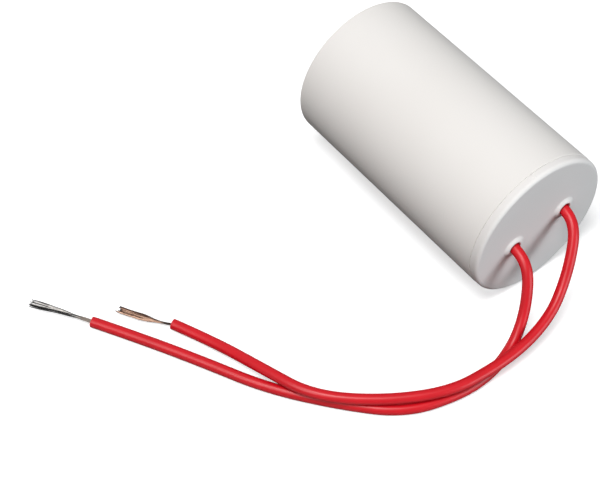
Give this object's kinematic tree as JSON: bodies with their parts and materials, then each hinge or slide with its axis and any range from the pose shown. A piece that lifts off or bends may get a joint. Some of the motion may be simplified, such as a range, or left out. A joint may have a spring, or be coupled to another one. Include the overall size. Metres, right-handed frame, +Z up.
{
  "type": "motor run capacitor",
  "caption": "Round moulded motor run capacitor lying on its side, its flexible red leads leaving raised collars in the lid and ending in stripped strands.",
  "frame": {"origin": "on the surface that the can lies on, under the middle of the can and its lid collars", "axes": "+X along the can's axis towards the lid and its leads, +Z up from the surface, +Y completing the right hand"},
  "size_m": [0.0769, 0.1089, 0.035],
  "materials": {
    "case_plastic": "satin moulded warm white plastic",
    "lid_plastic": "satin moulded warm white plastic",
    "lead_insulation": "satin extruded red PVC",
    "tinned_strand": "bright tinned copper strand",
    "copper_strand": "bare copper strand",
    "metallised_film": "metallised polypropylene film, rolled",
    "core_plastic": "plain moulded tube",
    "zinc_spray": "rough sprayed zinc",
    "wrap_film": "clear plain film sleeve",
    "solder": "bright solder",
    "resin": "cast potting resin"
  },
  "bodies": {
    "root": {"case": "case_plastic", "lid": "lid_plastic", "lead_left": "lead_insulation", "lead_right": "lead_insulation", "strands_left": "tinned_strand", "strands_right": "copper_strand", "film_winding": "metallised_film", "winding_core": "core_plastic", "end_spray_base": "zinc_spray", "end_spray_lid": "zinc_spray", "winding_wrap": "wrap_film", "tail_left": "tinned_strand", "tail_right": "copper_strand", "solder_left": "solder", "solder_right": "solder", "potting_resin": "resin"}
  },
  "joints": []
}
